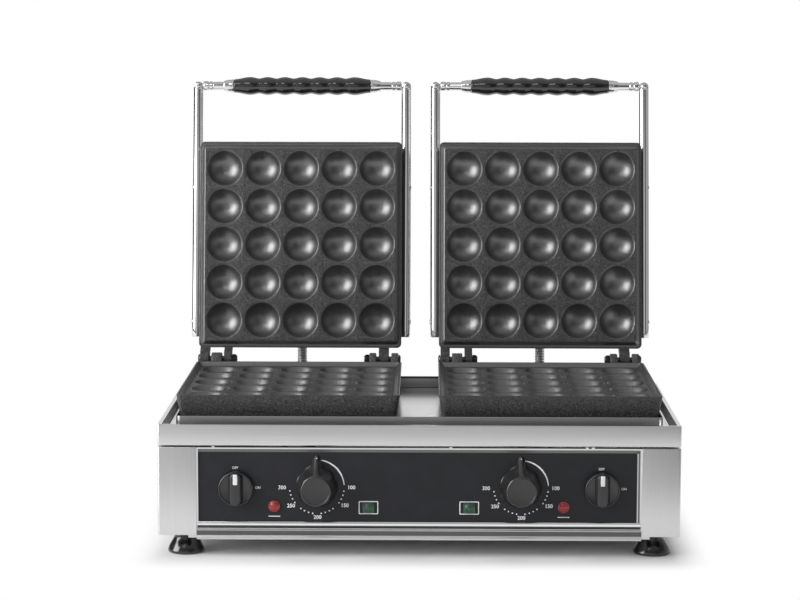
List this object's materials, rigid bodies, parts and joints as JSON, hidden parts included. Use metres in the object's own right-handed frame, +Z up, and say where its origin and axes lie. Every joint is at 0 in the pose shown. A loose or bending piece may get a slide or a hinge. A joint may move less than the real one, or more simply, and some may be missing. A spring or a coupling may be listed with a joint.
{
  "type": "double bubble waffle maker",
  "caption": "Countertop waffle maker with side-by-side hinged plates full of round recesses, steel housing, knobs and lamps.",
  "frame": {"origin": "on the worktop, under the middle of the part's box with both lids open", "axes": "+X to the right seen from the front, +Y to the rear, +Z up"},
  "size_m": [0.56, 0.4112, 0.5011],
  "materials": {
    "brushed_steel": "fine brushed stainless steel sheet",
    "polished_steel": "bright stainless steel of the deck",
    "chrome": "polished chrome",
    "cast_non_stick": "cast, dark grey non-stick coating, fine grain",
    "black_panel": "black satin overlay with white print",
    "black_plastic": "satin black moulding",
    "black_grip": "glossy black moulding",
    "foot_rubber": "black moulded rubber",
    "red_lens": "deep red lens, unlit",
    "green_lens": "dark green lens, unlit",
    "heater_steel": "tube heater, heat tinted",
    "conduit_steel": "ribbed metal hose",
    "switch_body": "moulded switch body",
    "ceramic": "glazed ceramic",
    "glass_sleeve": "woven glass sleeve on the leads"
  },
  "bodies": {
    "housing": {"top_tray": "polished_steel", "plate_bed": "polished_steel", "front_frame": "brushed_steel", "control_panel": "black_panel", "base_plate": "brushed_steel", "rear_panel": "brushed_steel", "terminal_block": "ceramic", "wiring_loom": "glass_sleeve", "cable_gland": "black_plastic", "front_left_foot": "foot_rubber", "rear_left_foot": "foot_rubber", "front_right_foot": "foot_rubber", "rear_right_foot": "foot_rubber", "left_side_casing": "brushed_steel", "left_lower_plate": "cast_non_stick", "left_lower_heater": "heater_steel", "left_unit_left_hinge_pin": "chrome", "left_unit_right_hinge_pin": "chrome", "left_base_gland": "chrome", "left_conduit": "conduit_steel", "left_rotary_switch": "switch_body", "left_thermostat": "switch_body", "left_red_lamp": "red_lens", "left_green_lamp": "green_lens", "right_side_casing": "brushed_steel", "right_lower_plate": "cast_non_stick", "right_lower_heater": "heater_steel", "right_unit_left_hinge_pin": "chrome", "right_unit_right_hinge_pin": "chrome", "right_base_gland": "chrome", "right_conduit": "conduit_steel", "right_rotary_switch": "switch_body", "right_thermostat": "switch_body", "right_red_lamp": "red_lens", "right_green_lamp": "green_lens"},
    "left_lid": {"left_upper_plate": "cast_non_stick", "left_upper_heater": "heater_steel", "left_lid_cover": "brushed_steel", "left_handle_rod": "chrome", "left_grip": "black_grip", "left_unit_left_arm": "chrome", "left_unit_right_arm": "chrome", "left_unit_left_ferrule": "chrome", "left_unit_right_ferrule": "chrome", "left_lid_gland": "chrome"},
    "left_switch": {"left_switch_knob": "black_plastic"},
    "left_dial": {"left_thermostat_knob": "black_plastic"},
    "right_lid": {"right_upper_plate": "cast_non_stick", "right_upper_heater": "heater_steel", "right_lid_cover": "brushed_steel", "right_handle_rod": "chrome", "right_grip": "black_grip", "right_unit_left_arm": "chrome", "right_unit_right_arm": "chrome", "right_unit_left_ferrule": "chrome", "right_unit_right_ferrule": "chrome", "right_lid_gland": "chrome"},
    "right_switch": {"right_switch_knob": "black_plastic"},
    "right_dial": {"right_thermostat_knob": "black_plastic"}
  },
  "joints": [
    {"name": "left_lid_hinge", "type": "hinge", "parent": "housing", "child": "left_lid", "pos_m": [-0.1423, 0.11376, 0.1708], "axis": [1, 0, 0], "range_deg": [0, 100], "deforming": ["left_conduit"]},
    {"name": "left_switch_turn", "type": "hinge", "parent": "housing", "child": "left_switch", "pos_m": [-0.196, -0.17964, 0.0755], "axis": [0, 1, 0], "range_deg": [0, 90]},
    {"name": "left_thermostat_turn", "type": "hinge", "parent": "housing", "child": "left_dial", "pos_m": [-0.1093, -0.17964, 0.0768], "axis": [0, 1, 0], "range_deg": [0, 270]},
    {"name": "right_lid_hinge", "type": "hinge", "parent": "housing", "child": "right_lid", "pos_m": [0.1423, 0.11376, 0.1708], "axis": [1, 0, 0], "range_deg": [0, 100], "deforming": ["right_conduit"]},
    {"name": "right_switch_turn", "type": "hinge", "parent": "housing", "child": "right_switch", "pos_m": [0.196, -0.17964, 0.0755], "axis": [0, 1, 0], "range_deg": [0, 90]},
    {"name": "right_thermostat_turn", "type": "hinge", "parent": "housing", "child": "right_dial", "pos_m": [0.1093, -0.17964, 0.0768], "axis": [0, 1, 0], "range_deg": [0, 270]}
  ]
}
